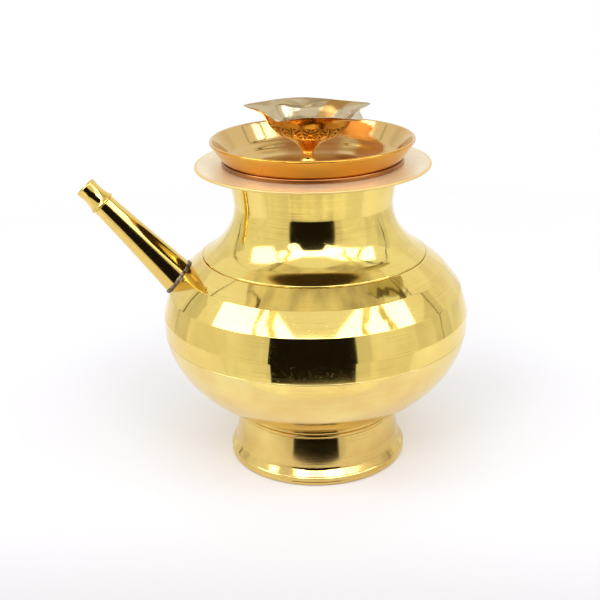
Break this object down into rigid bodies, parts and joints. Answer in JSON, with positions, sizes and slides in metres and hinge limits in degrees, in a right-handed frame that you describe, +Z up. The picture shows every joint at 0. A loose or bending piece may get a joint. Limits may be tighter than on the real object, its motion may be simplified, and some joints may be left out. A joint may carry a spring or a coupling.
{
  "type": "spouted water pot",
  "caption": "Round brass water pot on a flared foot with a slanted pouring spout, its mouth covered by a loose dish that holds a pedestal oil lamp.",
  "frame": {"origin": "on the surface that the foot stands on, under the middle of the object's length with its spout", "axes": "+Z up along the pot's axis, which stands at x = +17.9 mm; the spout points towards -X"},
  "size_m": [0.1755, 0.1398, 0.1653],
  "materials": {
    "polished_brass": "mirror-polished turned brass with faint lathe lines",
    "spun_brass": "polished brass with fine spinning lines",
    "satin_brass": "pale matt brass, lightly brushed",
    "solder": "dull grey-brown hard solder, rough",
    "bronze_dish": "polished copper-rich bronze, warm orange outside and beige inside",
    "dark_bronze": "darkened copper bronze, satin",
    "copper_lamp": "polished copper-bronze with darkened carving"
  },
  "bodies": {
    "pot": {"foot_band": "polished_brass", "foot_flare": "polished_brass", "waist_ring": "polished_brass", "lower_bowl": "polished_brass", "belly_shell": "polished_brass", "neck_shell": "spun_brass", "rim_flange": "satin_brass", "spout_tube": "spun_brass", "spout_nozzle": "spun_brass", "spout_solder": "solder"},
    "dish": {"dish_foot_ring": "dark_bronze", "dish_pan": "bronze_dish"},
    "lamp": {"lamp_foot": "copper_lamp", "lamp_cup": "copper_lamp"}
  },
  "joints": [
    {"name": "dish_lift", "type": "slide", "parent": "pot", "child": "dish", "axis": [0, 0, 1], "range_m": [0, 0.06]},
    {"name": "lamp_lift", "type": "slide", "parent": "dish", "child": "lamp", "axis": [0, 0, 1], "range_m": [0, 0.045]}
  ]
}
